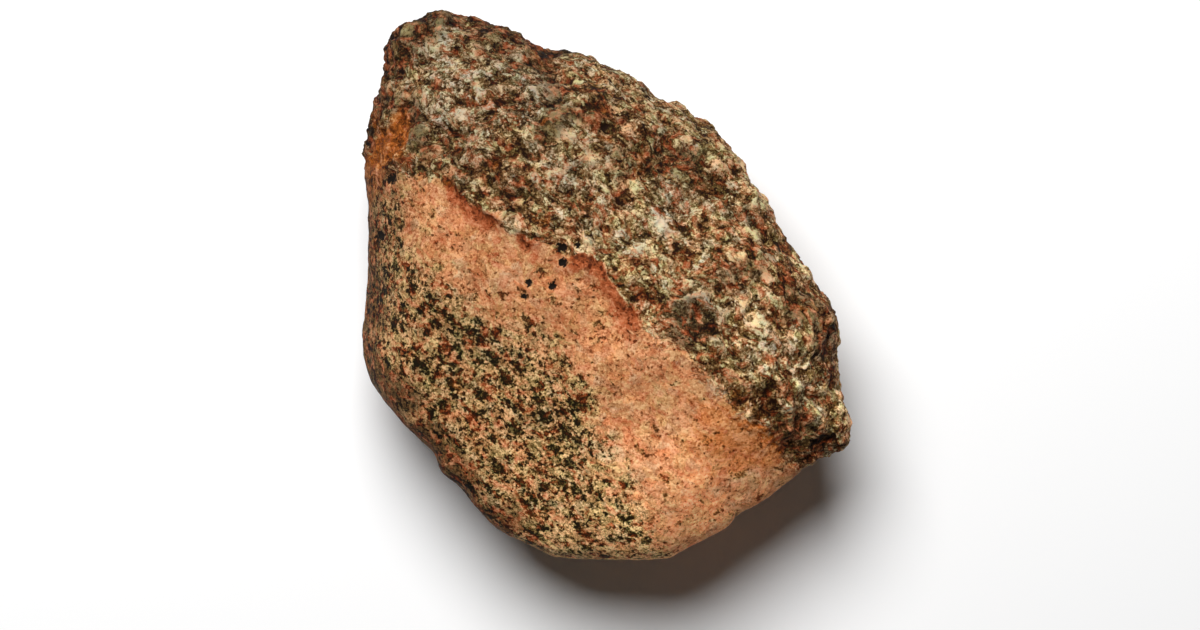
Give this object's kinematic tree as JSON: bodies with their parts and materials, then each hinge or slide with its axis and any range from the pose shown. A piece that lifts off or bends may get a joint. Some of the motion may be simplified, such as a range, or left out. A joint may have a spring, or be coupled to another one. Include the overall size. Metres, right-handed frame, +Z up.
{
  "type": "stony meteorite",
  "caption": "Large broken Martian stone with a smooth pale speckled face and a rough dark face meeting in a low ridge, lying on its flattest side.",
  "frame": {"origin": "under the middle of the stone's box, on the surface that it rests on", "axes": "+Z up out of the upper faces; +Y along the stone's length, towards its narrow end; the smooth pale face lies towards -X and -Y and the rough dark face towards +X and +Y"},
  "size_m": [0.2983, 0.336, 0.152],
  "materials": {
    "stone": "coarse mineral grains, partly worn smooth"
  },
  "bodies": {
    "root": {"meteorite": "stone"}
  },
  "joints": []
}
